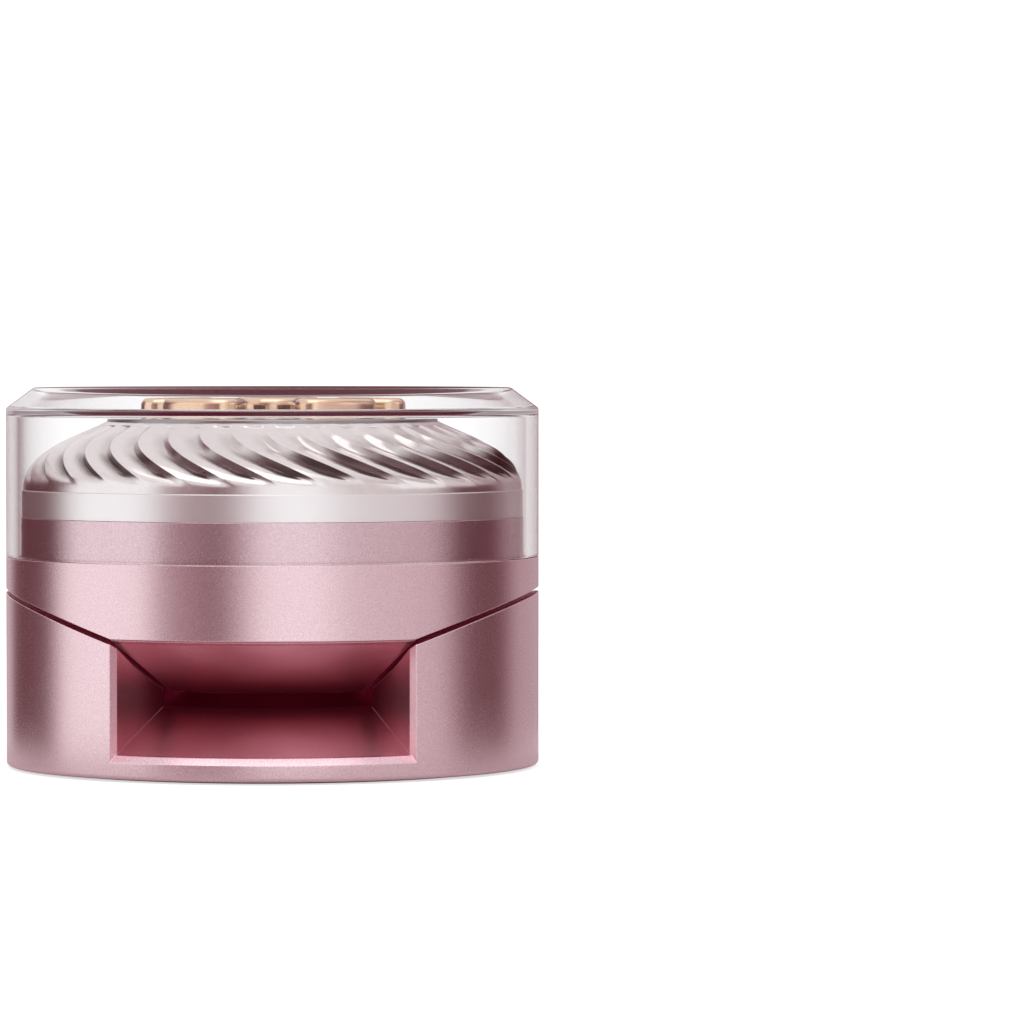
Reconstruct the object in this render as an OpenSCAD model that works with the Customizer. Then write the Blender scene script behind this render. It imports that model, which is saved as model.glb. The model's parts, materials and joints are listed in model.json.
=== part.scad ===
// Facial toning device: a round toning head docked on its charging stand under a clear cap.
// Origin: centre of the foot ring's underside, +Z up, the finger recess towards -Y.
// Millimetres.

/* [Body] */
// Outer diameter of stand, head and cap
body_d = 88; // [80:0.5:96]
// Wall of the stand
stand_wall = 2.4; // [1.6:0.1:4]
// Wall of the head
head_wall = 2.2; // [1.6:0.1:3]
// How far the foot ring stands proud of the stand
foot_lift = 0.4; // [0.2:0.1:2]
// Round on the stand's lower edge
edge_round = 0.6; // [0.2:0.1:1]

/* [Joint between head and stand] */
// Height of the flat underside of the keel
keel_z = 13.7; // [13:0.1:18]
// Half width of that flat underside
keel_half = 15.6; // [12:0.1:18]
// Half width where the keel meets the wings
wing_half = 24.4; // [22:0.1:28]
// Height of the head wall's lower edge over the recess
brow_z = 22.8; // [20:0.1:25]
// Rise of the wings, as height over width
wing_slope = 0.354; // [0.25:0.001:0.4]
// Radius at which the scooped ends of the keel start
scoop_r = 27; // [25:0.5:30]
// Gap between the head and its bed
bed_gap = 0.8; // [0.5:0.05:1]

/* [Head] */
// Height of the ledge that the cap sits on
ledge_z = 34.7; // [33:0.1:40]
// Width of that ledge
ledge_w = 2.5; // [2.3:0.1:4]
// Height of the painted collar above the ledge
collar_h = 6.7; // [5:0.1:10]
// Height of the bright band above the collar
band_h = 4.5; // [3:0.1:8]
// Height of the fluted ring
dome_h = 11.1; // [9:0.1:14]
// Number of flutes
flutes = 36; // [24:1:40]
// Depth of a flute
flute_depth = 1.15; // [0.4:0.05:1.4]
// Angle through which a flute sweeps, from its inner end to its outer end
flute_sweep = 29.6; // [10:0.1:45]
// Thickness of the fluted ring
ring_wall = 2.3; // [1.8:0.1:3]

/* [Face] */
// Radius of the red reflector
face_r = 25.4; // [24.5:0.1:26]
// Width of the ring round the reflector
bezel_w = 2; // [1.5:0.1:2.5]
// How far that ring stands over the fluted ring
bezel_lift = 0.7; // [0.2:0.1:1]
// Depth of the reflector's edge below the ring round it
face_drop = 1.3; // [0.8:0.1:2]
// Gap round an electrode in the reflector
pad_gap = 0.6; // [0.3:0.05:0.8]
// Number of outer electrodes
pads = 5; // [4:1:5]
// Distance from an outer electrode to the reflector's edge
pad_edge = 3.1; // [2.8:0.1:3.4]
// Angle of the first outer electrode, anticlockwise from +X
pad_start = 18; // [0:1:90]
// Radius of the flat top of the centre electrode
centre_r = 4.3; // [3.5:0.1:4.6]
// Radius of the round on an electrode's rim
pad_round = 1.15; // [0.5:0.05:1.3]
// Height of the electrodes' tops over the reflector's edge
pad_rise = 3.8; // [2.5:0.1:4.2]

/* [Cap] */
// Wall of the clear cap
cap_wall = 2.1; // [1.6:0.05:2.2]
// Top of the clear cap
cap_top = 1.8; // [1.2:0.1:3]
// Clearance over the electrodes
cap_headroom = 0.6; // [0.4:0.1:3]
// Width of the slope round the cap's top
cap_slope_w = 4.6; // [2:0.1:6]
// Height of that slope
cap_slope_h = 3.4; // [1.5:0.1:4]

/* [Recess] */
// Half width of the finger recess at its mouth
recess_half = 23.3; // [22:0.1:23.3]
// Half width at its inner end
recess_in_half = 17; // [16.5:0.1:18]
// Height of its sill at the mouth
sill_z = 4.2; // [3.8:0.1:5]
// Height of its floor at the inner end
recess_in_z = 10.9; // [10.7:0.1:11]
// Width of the bright edge round the mouth
recess_chamfer = 1.1; // [0.3:0.1:1.1]

/* [Charging] */
// Distance between the two charging pins
pin_pitch = 12; // [9:0.5:12]
// Radius of a charging pin
pin_r = 0.7; // [0.5:0.05:0.8]
// Height of the centre of the charging socket
socket_z = 6.3; // [6.3:0.1:6.4]

/* [Button] */
// Radius of the power button
button_r = 4; // [3:0.1:4.2]
// Height of the power button's centre
button_z = 28.75; // [28.5:0.05:29]
// Travel of the power button
button_travel = 0.6; // [0.3:0.05:0.7]

/* [Hidden] */
$fn = 96;

// Radii from the outside in, and clearances
body_r = body_d / 2;
collar_r = body_r - ledge_w;
fit_gap = 0.1;
slip_gap = 0.4;
// How far outside the wall the scoop would reach the height of the brow
scoop_ease = 0.06;

// Heights from the stand up
plate_t = 2;
skin_t = 2;
bed_z = keel_z - bed_gap;
ceiling_z = recess_in_z - skin_t;
cover_t = 2.4;
collar_z = ledge_z + collar_h;
band_z = collar_z + band_h;
dome_z = band_z + dome_h;
bezel_r = face_r + bezel_w;
bezel_z = dome_z + bezel_lift;
face_z = bezel_z - face_drop;
pad_z = face_z + pad_rise;
cap_z = pad_z + cap_headroom + cap_top;

// Depth of the slot behind the keel's scooped end
slot_depth = 8;
// Depth of the slope at the slot's back
slot_lean = 3;
// How far slopes run on past the wall
reach = 10;
// Far enough to cut right through
far = 2 * body_d;
cut = 0.01;

NODE_PINK = "#c48f9b";
NODE_STEEL = "#cfcfd2";
NODE_GOLD = "#d6b280";
NODE_RED = "#b5141f";
NODE_DARK = "#3a3a3e";
NODE_BOARD = "#1f5c3a";
NODE_PLASTIC = "#dcd8d6";

// ---------------------------------------------------------------- helpers

// A point at radius r and angle a in the plane
function polar(r, a) = [r * cos(a), r * sin(a)];

// Point of a cubic curve with control points c at t
function cubic(c, t) =
    pow(1 - t, 3) * c[0] + 3 * t * pow(1 - t, 2) * c[1]
    + 3 * t * t * (1 - t) * c[2] + t * t * t * c[3];

// Smooth rise from 0 at a to 1 at b
function rise(a, b, x) = let (s = min(1, max(0, (x - a) / (b - a)))) s * s * (3 - 2 * s);

function joined(rows) = [for (row = rows) for (p = row) p];

// Quads between the rings of rows, n points a ring
function band_faces(n, pairs) = [
    for (pair = pairs) for (j = [0 : n - 1])
        let (k = (j + 1) % n, a = pair[0] * n, b = pair[1] * n)
            each [[a + j, b + j, b + k], [a + j, b + k, a + k]]
];

// Solid ring whose cross-section runs through all rows and back to the first
module ring_skin(rows) {
    n = len(rows[0]);
    m = len(rows);
    polyhedron(joined(rows), band_faces(n, [for (i = [0 : m - 1]) [i, (i + 1) % m]]));
}

// Solid with a flat top (first row) and a flat bottom (last row)
module capped_skin(rows) {
    n = len(rows[0]);
    m = len(rows);
    polyhedron(joined(rows), concat(
        band_faces(n, [for (i = [0 : m - 2]) [i, i + 1]]),
        [[for (j = [n - 1 : -1 : 0]) j]],
        [[for (j = [0 : n - 1]) (m - 1) * n + j]]));
}

// Box centred in X and Y that stands on z
module slab(x, y, z0, z1) {
    translate([-x / 2, -y / 2, z0]) cube([x, y, z1 - z0]);
}

// Upright cylinder from z0 to z1
module post(r, z0, z1) {
    translate([0, 0, z0]) cylinder(r = r, h = z1 - z0);
}

// Upright ring from z0 to z1
module tube(r_out, r_in, z0, z1) {
    difference() {
        post(r_out, z0, z1);
        post(r_in, z0 - 1, z1 + 1);
    }
}

// Cylinder along +Y from y0 to y1 at height z
module rod_y(r, y0, y1, z) {
    translate([0, y0, z]) rotate([-90, 0, 0]) cylinder(r = r, h = y1 - y0);
}

// One copy at each corner of a rectangle
module corners(x, y) {
    for (sx = [-1, 1], sy = [-1, 1]) translate([sx * x, sy * y, 0]) children();
}

// ---------------------------------------------------------------- the shape of the joint

// Outline of all that lies above the head's underside, seen from the front, lowered by drop
// and widened by side
module above_outline(drop, side) {
    wing_end = body_r + reach;
    wing_end_z = brow_z + wing_slope * (wing_end - wing_half);
    polygon([
        [-wing_end, far], [-wing_end, wing_end_z - drop], [-wing_half - side, brow_z - drop],
        [-keel_half - side, keel_z - drop], [keel_half + side, keel_z - drop],
        [wing_half + side, brow_z - drop], [wing_end, wing_end_z - drop], [wing_end, far]
    ]);
}

// Everything above the head's underside, lowered by drop: wings and keel along Y,
// with both ends of the keel scooped out by a cone
module above_head(drop = 0, side = 0) {
    cone_slope = (brow_z - keel_z) / (body_r + scoop_ease - scoop_r);
    cone_end = body_r + reach;
    intersection() {
        translate([0, far / 2, 0]) rotate([90, 0, 0]) linear_extrude(far) above_outline(drop, side);
        rotate_extrude() polygon([
            [0, far], [0, keel_z - drop], [scoop_r, keel_z - drop],
            [cone_end, keel_z - drop + cone_slope * (cone_end - scoop_r)], [cone_end, far]
        ]);
    }
}

// Space of the finger recess, grown all round by skin
module recess(skin = 0) {
    mouth_y = sqrt(pow(body_r, 2) - pow(recess_half + recess_chamfer, 2));
    in_y = sqrt(pow(scoop_r, 2) - pow(recess_in_half, 2));
    slot_r = scoop_r - slot_depth;
    slope = (recess_in_z - sill_z) / (body_r - recess_chamfer - scoop_r);
    intersection() {
        linear_extrude(far) polygon([
            [recess_half + recess_chamfer + skin, -far],
            [recess_half + recess_chamfer + skin, -mouth_y],
            [recess_half + skin, -mouth_y + recess_chamfer],
            [recess_in_half + skin, -in_y], [recess_in_half + skin, 0],
            [-recess_in_half - skin, 0], [-recess_in_half - skin, -in_y],
            [-recess_half - skin, -mouth_y + recess_chamfer],
            [-recess_half - recess_chamfer - skin, -mouth_y],
            [-recess_half - recess_chamfer - skin, -far]
        ]);
        rotate_extrude() polygon([
            [far, sill_z - recess_chamfer - skin], [body_r, sill_z - recess_chamfer - skin],
            [body_r - recess_chamfer, sill_z - skin], [scoop_r, recess_in_z - skin],
            [slot_r + slot_lean - skin, recess_in_z - skin],
            [slot_r - skin, recess_in_z + slot_lean - skin], [slot_r - skin, far], [far, far]
        ]);
    }
}

// ---------------------------------------------------------------- places shared by several parts

plate_r = body_r - stand_wall - fit_gap;
plate_top = foot_lift + plate_t;
screw_pitch_r = body_r - 16;
ballast_edge = 4;
ballast_t = 2;
ballast_front = 12;
ballast_slot = 16;
ballast_back = 20;
board_t = 1;
board_x = 21;
board_front = 8;
socket_w = 8.94;
socket_h = 3.2;
socket_len = 7.1;
socket_gap = 0.25;
socket_mouth = body_r - 0.4;
block_edge = 2.5;
block_x = pin_pitch + 2 * block_edge;
block_y = 6;
barrel_r = pin_r + 0.4;
barrel_floor = 0.4;
pin_guide = 2.2;
pin_foot_z = bed_z - pin_guide;
contact_r = 2.2;
magnet_r = 4;
magnet_t = 2;
magnet_y = 12;
magnet_stand_z = ceiling_z;
pad_strip_x = 13.2;
pad_strip_w = 2;
pad_strip_len = 16;
pad_strip_in = 0.8;
cover_screw_x = 12;
cover_screw_y = 20.5;
screw_r = 1.1;
screw_head_r = 2;
screw_head_t = 0.8;
screw_sink = 0.4;
screw_slot = 0.5;
screw_gap = 0.2;
base_screw_len = 5.5;
cover_screw_len = 7;
boss_r = 3;
boss_hole = 5;
bed_side = 3 * stand_wall;
leg_r = 2.4;
leg_hole = 6;
cover_r = body_r - head_wall - fit_gap;
cover_in_r = cover_r - 2;
cover_top = ledge_z - head_wall;
rim_r = body_r - 0.5;
rim_h = 2;
floor_z = keel_z + cover_t;
tray_z = floor_z + magnet_t;
tray_t = 0.8;
tray_rim = 1;
tray_lip = 1.5;
battery_size = [27, 33, 6];
main_board_t = 1.2;
cable_w = 10;
cable_t = 0.3;
cable_inset = 9;
cable_lap = 4;
switch_h = 3.2;
main_board_z = button_z - switch_h / 2;
main_board_x = 46;
motor_at = [-15, -8];
motor_r = 5;
motor_h = 3.4;
buzzer_at = [14, -11.5];
buzzer_r = 4.5;
buzzer_h = 2.5;
buzzer_hole_r = 0.8;
frame_z = ledge_z + 1.2;
frame_t = 2;
tower_wall = 2;
frame_ledge = 6;
tower_r = face_r - 0.6;
led_board_t = 1.2;
led_size = 2.8;
led_spread = 5;
stud_r = 1.6;
reflector_back = face_z - 2.6;
led_board_z = reflector_back - 1.6;
button_face_r = body_r - 0.15;
flange_back = 1.9;
flange_y = cover_in_r - flange_back;
flange_t = 1.2;
flange_r = button_r + 1;
switch_depth = 4;
plunger_r = 1.5;
plunger_in = 1.2;
plunger_out = button_travel + 0.5;
button_stem_r = 1;
button_stem_len = 2.2;
button_stem_y = flange_y - button_stem_len;
switch_y = button_stem_y - plunger_out - switch_depth;
main_board_y = switch_y + 0.5;
light_x = 9;
light_r = 1;

// ---------------------------------------------------------------- stand

// Housing of the stand: a drum with the head's bed on top and the finger recess in front
module stand_shell() color(NODE_PINK) difference() {
    rotate_extrude() polygon(concat(
        [[0, foot_lift]],
        [for (a = [-90 : 15 : 0]) [body_r - edge_round, foot_lift + edge_round] + edge_round * [cos(a), sin(a)]],
        [[body_r, ledge_z], [0, ledge_z]]));
    above_head(bed_gap, bed_gap / 2);
    recess();
    // Hollow inside, open at the bottom, that keeps a skin under the bed and round the recess
    difference() {
        post(body_r - stand_wall, -1, wing_under_z());
        above_head(bed_gap + stand_wall, bed_side);
        slab(2 * (keel_half + bed_side), far, ceiling_z, far);
        recess(skin_t);
        at_screws() post(boss_r, plate_top, far);
    }
    // Ways through for the socket and the pin block, pockets for pads and magnets
    socket_hole();
    slab(block_x + 2 * fit_gap, block_y + 2 * fit_gap, 0, far);
    seat_pad_shape(fit_gap);
    for (sy = [-1, 1]) translate([0, sy * magnet_y, 0]) post(magnet_r + fit_gap, 0, magnet_stand_z + magnet_t);
    at_screws() post(screw_r, 0, plate_top + boss_hole);
}

// Height of the wings' underside at the wall
function wing_under_z() = brow_z + wing_slope * (body_r - wing_half);

// Places a child at each base screw
module at_screws() {
    for (a = [60, 180, 300]) rotate(a) translate([screw_pitch_r, 0, 0]) children();
}

module socket_hole() {
    translate([0, 0, socket_z])
        socket_bar(socket_w + 2 * socket_gap, socket_h + 2 * socket_gap, body_r - 3 * stand_wall, far);
}

module bottom_plate() color(NODE_DARK) difference() {
    post(plate_r, foot_lift, plate_top);
    tube(foot_out_r, foot_in_r, -1, foot_lift + foot_seat);
    at_screws() screw_way(foot_lift + screw_sink + screw_head_t);
}

foot_out_r = body_r - 4;
foot_in_r = foot_out_r - 5;
foot_seat = 1;

// Soft ring that the stand rests on
module foot_ring() color(NODE_DARK) rotate_extrude() polygon([
    [foot_in_r + fit_gap, foot_lift + foot_seat], [foot_in_r + fit_gap, 0.2], [foot_in_r + 0.3, 0],
    [foot_out_r - 0.3, 0], [foot_out_r - fit_gap, 0.2], [foot_out_r - fit_gap, foot_lift + foot_seat]
]);

// Steel plate that keeps the stand down
module ballast_weight() color(NODE_STEEL) difference() {
    post(plate_r - ballast_edge, plate_top, plate_top + ballast_t);
    recess(skin_t + fit_gap);
    translate([-far / 2, -far - ballast_front, 0]) cube([far, far, far]);
    translate([-ballast_slot / 2, ballast_back, 0]) cube([ballast_slot, far, far]);
    at_screws() post(boss_r + slip_gap, 0, far);
}

// Board under the bed that carries the socket and the pins
module charge_board() color(NODE_BOARD) difference() {
    translate([-board_x / 2, -board_front, ceiling_z - board_t])
        cube([board_x, board_front + socket_mouth - socket_len / 2, board_t]);
    for (sy = [-1, 1]) translate([0, sy * magnet_y, 0]) post(magnet_r + slip_gap, 0, far);
}

// Charging socket: a rounded tube with a tongue
module usb_socket() color(NODE_STEEL) translate([0, socket_mouth - socket_len, socket_z]) {
    wall = 0.3;
    back = 1;
    tongue = [6.7, socket_len - back - 0.8, 0.7];
    difference() {
        socket_bar(socket_w, socket_h, 0, socket_len);
        socket_bar(socket_w - 2 * wall, socket_h - 2 * wall, back, socket_len + 1);
    }
    translate([-tongue[0] / 2, back - cut, -tongue[2] / 2]) cube(tongue);
}

module socket_bar(w, h, y0, y1) {
    half = w / 2 - h / 2;
    for (s = [-1, 1]) translate([s * half, 0, 0]) rod_y(h / 2, y0, y1, 0);
    translate([-half, y0, -h / 2]) cube([2 * half, y1 - y0, h]);
}

// Moulded block in the bed that holds both pin barrels
module pin_block() color(NODE_DARK) difference() {
    slab(block_x, block_y, ceiling_z, bed_z);
    for (s = [-1, 1]) translate([s * pin_pitch / 2, 0, 0]) post(barrel_r, 0, far);
}

module pin_barrels() color(NODE_GOLD)
    for (s = [-1, 1]) translate([s * pin_pitch / 2, 0, 0]) difference() {
        post(barrel_r, ceiling_z, bed_z);
        post(pin_r + 0.05, ceiling_z + barrel_floor, far);
    }

// Charging pin with a rounded tip
module charge_pin(s) color(NODE_GOLD) translate([s * pin_pitch / 2, 0, 0])
    rotate_extrude() polygon(concat(
        [[0, pin_foot_z], [pin_r, pin_foot_z]],
        [for (a = [0 : 15 : 60]) [pin_r * cos(a), keel_z + pin_r * (0.5 * sin(a) / sin(60) - 0.5)]],
        [[0, keel_z]]));

module charge_pin_left() charge_pin(-1);
module charge_pin_right() charge_pin(1);

// Coil under a charging pin
module pin_spring(s) color(NODE_STEEL) {
    z0 = ceiling_z + barrel_floor;
    wire = 0.1;
    coil_r = pin_r - wire - 0.03;
    turns = 4;
    steps = 44;
    sides = 5;
    capped_skin([for (i = [steps : -1 : 0]) let (
        a = 360 * turns * i / steps,
        z = z0 + wire + (pin_foot_z - z0 - 2 * wire) * i / steps)
        [for (j = [0 : sides - 1]) let (b = 360 * j / sides)
            [s * pin_pitch / 2, 0, 0] + [(coil_r + wire * cos(b)) * cos(a),
                (coil_r + wire * cos(b)) * sin(a), z + wire * sin(b)]]]);
}

module pin_spring_left() pin_spring(-1);
module pin_spring_right() pin_spring(1);

// Two soft strips in the bed that the keel rests on
module seat_pad_shape(grow) {
    for (s = [-1, 1]) translate([s * pad_strip_x, 0, 0])
        slab(pad_strip_w + 2 * grow, pad_strip_len + 2 * grow, bed_z - pad_strip_in, keel_z + 10 * grow);
}

module seat_pads() color(NODE_DARK) seat_pad_shape(0);

module dock_magnets() color(NODE_STEEL)
    for (sy = [-1, 1]) translate([0, sy * magnet_y, 0])
        post(magnet_r, magnet_stand_z, magnet_stand_z + magnet_t);

// Screw standing on its head at z0
module screw(z0, length) {
    difference() {
        union() {
            post(screw_head_r, z0, z0 + screw_head_t);
            post(screw_r, z0, z0 + length);
        }
        for (a = [0, 90]) rotate(a) slab(2 * screw_r, screw_slot, z0 - 1, z0 + screw_head_t / 2);
    }
}

// Way for a screw through a plate, with a sink for its head up to head_top
module screw_way(head_top) {
    post(screw_r + screw_gap, 0, far);
    post(screw_head_r + screw_gap, 0, head_top);
}

module base_screws() color(NODE_STEEL)
    at_screws() screw(foot_lift + screw_sink, base_screw_len);

// ---------------------------------------------------------------- head

// Outer wall of the head, with the ledge and the collar that the cap slips over
module head_shell() color(NODE_PINK) difference() {
    intersection() {
        rotate_extrude() polygon([
            [body_r - head_wall, 0], [body_r, 0], [body_r, ledge_z], [collar_r, ledge_z],
            [collar_r, collar_z], [collar_r - head_wall, collar_z],
            [collar_r - head_wall, cover_top], [body_r - head_wall, cover_top]
        ]);
        above_head();
    }
    // Step at the lower edge that takes the cover's rim
    difference() {
        post(rim_r + fit_gap, 0, cover_top);
        above_head(-rim_h);
    }
    button_hole();
}

module button_hole() {
    rod_y(button_r + 0.25, 0, far, button_z);
    translate([light_x, 0, 0]) rod_y(light_r, 0, far, button_z);
}

// Underside of the head: keel and wings in one tray that closes the wall from below
module keel_cover() color(NODE_PINK) difference() {
    intersection() {
        union() {
            post(cover_r, 0, cover_top);
            difference() {
                post(rim_r, 0, cover_top);
                above_head(fit_gap - rim_h);
            }
        }
        above_head();
    }
    intersection() {
        post(cover_in_r, 0, far);
        above_head(-cover_t);
    }
    button_hole();
    for (s = [-1, 1]) translate([s * pin_pitch / 2, 0, 0]) post(contact_r, 0, floor_z + 1);
    corners(cover_screw_x, cover_screw_y) screw_way(keel_z + screw_sink + screw_head_t);
}

// Bright band between collar and fluted ring
module rim_band() color(NODE_STEEL) rotate_extrude() polygon([
    [collar_r - 0.1, collar_z], [collar_r - 0.1, band_z - 0.15], [collar_r - 0.25, band_z],
    [collar_r - 3, band_z], [collar_r - 3, collar_z]
]);

// Curve of the fluted ring from its inner to its outer edge, as [radius, height]
dome_in = [bezel_r + 1.2, dome_z - 0.55];
dome_out = [collar_r - 0.3, band_z];
dome_curve = [
    dome_in,
    dome_in + [0.52 * (dome_out[0] - dome_in[0]), -0.27 * (dome_in[1] - dome_out[1])],
    dome_out + [0, 0.53 * (dome_in[1] - dome_out[1])],
    dome_out
];
dome_back = [
    [bezel_r + 0.1, dome_z - ring_wall],
    dome_curve[1] - [0.6, ring_wall],
    dome_curve[2] - [ring_wall, 0.8],
    dome_out - [ring_wall, 0]
];

// Share of the way down the flute at curve parameter t
function flute_way(t) = t * (1.38 - 0.38 * t);

// Angle of a flute's crest at share f: straight at first, then sweeping at a steady rate
function flute_angle(f) = let (bend = 0.335, soft = 0.17,
    at = function (x) norm([x - bend, soft]) + x - bend)
    flute_sweep * (at(f) - at(0)) / (at(1) - at(0));

// Depth of a flute at share f of its length
function flute_fade(f) = (0.35 + 0.65 * rise(0, 0.35, f)) * (1 - rise(0.7, 1, f));

// Depth across a flute, from one crest (0) to the next (1): a slow fall and a steep return
function flute_scoop(u) = 2.8 * pow(u, 1.2) * sqrt(max(0, 1 - u));

// Point of the fluted surface at curve parameter t and share u across flute k
function dome_point(t, k, u) = let (
    p = cubic(dome_curve, t),
    q = cubic(dome_curve, t + 0.01) - cubic(dome_curve, t - 0.01),
    inward = [q[1], -q[0]] / norm(q),
    f = flute_way(t),
    d = flute_depth * flute_fade(f) * flute_scoop(u),
    rz = p + d * inward,
    a = (k + u) * 360 / flutes + flute_angle(f))
    [rz[0] * cos(a), rz[0] * sin(a), rz[1]];

// Plain ring of points under the flutes, turned to match the row at t
function plain_ring(rz, t, across) = [
    for (k = [0 : flutes - 1], u = across)
        let (a = (k + u) * 360 / flutes + flute_angle(flute_way(t)))
            [rz[0] * cos(a), rz[0] * sin(a), rz[1]]
];

// Polished ring with swirling flutes
module swirl_ring() color(NODE_STEEL) {
    across = [0, 0.3, 0.58, 0.82, 0.95];
    steps = 9;
    ring_skin(concat(
        [plain_ring([bezel_r, dome_z], 0, across)],
        [plain_ring(dome_in - [0.1, -0.05], 0, across)],
        [for (i = [0 : steps]) [for (k = [0 : flutes - 1], u = across) dome_point(i / steps, k, u)]],
        [for (i = [4 : -1 : 0]) plain_ring(cubic(dome_back, i / 4), i / 4, across)]));
}

// Satin ring round the reflector
module bezel_ring() color(NODE_STEEL) rotate_extrude() polygon([
    [face_r, bezel_z - 0.4], [face_r + 0.2, bezel_z - 0.15], [bezel_r - 0.5, bezel_z],
    [bezel_r - 0.1, bezel_z - 0.3], [bezel_r - 0.1, dome_z - ring_wall],
    [face_r + 0.6, dome_z - ring_wall], [face_r + 0.6, face_z - 0.6], [face_r, face_z - 0.6]
]);

// Reflector's dish: where it starts and ends, its depth and fall, and the lip round the centre
dish_in = 8;
dish_rim = 2;
dish_depth = 1.2;
dish_fall = 0.25;
lip_r = 6.7;

// Height of the reflector's surface at radius r: a shallow dish with a low hump
function face_height(r) =
    face_z - dish_depth * sin(180 * min(1, max(0, (face_r - r) / (face_r - dish_in))))
    - dish_fall * rise(face_r - dish_rim, dish_in, r);

// Red reflector: a waved dish with a raised lip round the centre electrode
module reflector() color(NODE_RED) {
    moat_r = centre_r + pad_round + pad_gap;
    edge_r = face_r - fit_gap;
    difference() {
        rotate_extrude() polygon(concat(
            [[moat_r, reflector_back], [moat_r, face_z - 0.3], [lip_r - 0.45, face_z + 0.35],
                [lip_r, face_z + 0.45], [lip_r + 0.45, face_z + 0.3]],
            [for (i = [0 : 16]) let (r = lerp(dish_in, edge_r, i / 16)) [r, face_height(r)]],
            [[edge_r, reflector_back]]));
        for (i = [0 : pads - 1]) at_pad(i)
            translate([0, 0, reflector_back - 1]) linear_extrude(far) polygon(pad_outline(pad_round + pad_gap));
    }
}

function lerp(a, b, s) = a + (b - a) * s;

// Places a child at outer electrode i, with its own +X away from the axis
module at_pad(i) {
    rotate(pad_start + 360 * i / pads) translate([pad_pitch_r, 0, 0]) children();
}

// Flat top of an outer electrode: a rounded triangle with its broad side outwards, made of
// an outer arc, two corners and an inner arc
pad_in_r = 5;
pad_corner_r = 2;
pad_corner = [1.7, 4.15];
pad_out_r = 14;
pad_out_x = pad_corner[0] - sqrt(pow(pad_out_r - pad_corner_r, 2) - pow(pad_corner[1], 2));
pad_out_turn = atan2(pad_corner[1], pad_corner[0] - pad_out_x);
pad_in_turn = atan2(pad_corner[1], pad_corner[0]) + acos((pad_in_r - pad_corner_r) / norm(pad_corner));
pad_pitch_r = face_r - pad_edge - (pad_out_x + pad_out_r + pad_round);

function arc(centre, r, a0, a1, n) = [for (i = [0 : n - 1]) centre + polar(r, lerp(a0, a1, i / n))];

// That outline grown by g
function pad_outline(g) = concat(
    arc([pad_out_x, 0], pad_out_r + g, -pad_out_turn, pad_out_turn, 4),
    arc(pad_corner, pad_corner_r + g, pad_out_turn, pad_in_turn, 7),
    arc([0, 0], pad_in_r + g, pad_in_turn, 360 - pad_in_turn, 10),
    arc([pad_corner[0], -pad_corner[1]], pad_corner_r + g, 360 - pad_in_turn, 360 - pad_out_turn, 7));

function at_height(outline, z) = [for (p = outline) [p[0], p[1], z]];

seal_drop = 1.5;
seal_h = 0.6;
seal_z = face_z - seal_drop;
pad_foot_z = seal_z - 0.4;

// Outer electrode: flat top, rounded rim, straight wall and a stud down to the light board
module electrode(i) color(NODE_GOLD) at_pad(i) {
    capped_skin(concat(
        [for (a = [0 : 22.5 : 90])
            at_height(pad_outline(pad_round * sin(a)), pad_z - pad_round * (1 - cos(a)))],
        [at_height(pad_outline(pad_round), pad_foot_z)]));
    post(stud_r, led_board_z + led_board_t, seal_z);
}

module electrode_1() electrode(0);
module electrode_2() electrode(1);
module electrode_3() electrode(2);
module electrode_4() electrode(3);
module electrode_5() electrode(4);

module electrode_center() color(NODE_GOLD) rotate_extrude() polygon(concat(
    [[0, pad_z]],
    [for (a = [90 : -15 : 0]) [centre_r, pad_z - pad_round] + polar(pad_round, a)],
    [[centre_r + pad_round, pad_foot_z], [stud_r, pad_foot_z], [stud_r, led_board_z + led_board_t],
        [0, led_board_z + led_board_t]]));

// Soft gaskets between the electrodes and the reflector
module electrode_seals() color("#5a0a10") {
    for (i = [0 : pads - 1]) at_pad(i)
        translate([0, 0, reflector_back]) linear_extrude(seal_z + seal_h - reflector_back) difference() {
            polygon(pad_outline(pad_round + pad_gap - fit_gap));
            polygon(pad_outline(pad_round));
        }
    tube(centre_r + pad_round + pad_gap - fit_gap, centre_r + pad_round, reflector_back, seal_z + seal_h);
}

// Board behind the reflector
module led_board() color(NODE_PLASTIC) post(tower_r - fit_gap, led_board_z, led_board_z + led_board_t);

// Light chips between the electrodes, close behind the reflector
module leds() color("white") for (i = [0 : pads - 1], side = [-1, 1])
    rotate(pad_start + 360 * (i + 0.5) / pads) translate([pad_pitch_r + side * led_spread, 0, 0])
        slab(led_size, led_size, led_board_z + led_board_t, reflector_back);

// Carrier inside the head: a plate with a tower for the face and legs for the cover screws
module inner_frame() color(NODE_PLASTIC) {
    difference() {
        union() {
            post(collar_r - head_wall - fit_gap, frame_z, frame_z + frame_t);
            tube(tower_r + slip_gap, tower_r - tower_wall, frame_z, led_board_z);
        }
        post(tower_r - frame_ledge, 0, far);
    }
    corners(cover_screw_x, cover_screw_y) difference() {
        post(leg_r, floor_z, frame_z + frame_t);
        post(screw_r, 0, floor_z + leg_hole);
    }
}

// Main board, with room for the legs
module main_board() color(NODE_BOARD) difference() {
    slab(main_board_x, 2 * main_board_y, main_board_z - main_board_t, main_board_z);
    corners(cover_screw_x, cover_screw_y) post(leg_r + screw_gap, 0, far);
}

// Flat cable from the main board up to the light board
module ribbon_cable() color("#b06a2a") {
    x = tower_r - cable_inset;
    lap = x - cable_lap;
    z0 = main_board_z;
    z1 = led_board_z;
    translate([0, cable_w / 2, 0]) rotate([90, 0, 0]) linear_extrude(cable_w) polygon([
        [lap, z0], [x + cable_t, z0], [x + cable_t, z1], [lap, z1],
        [lap, z1 - cable_t], [x, z1 - cable_t], [x, z0 + cable_t], [lap, z0 + cable_t]
    ]);
}

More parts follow.
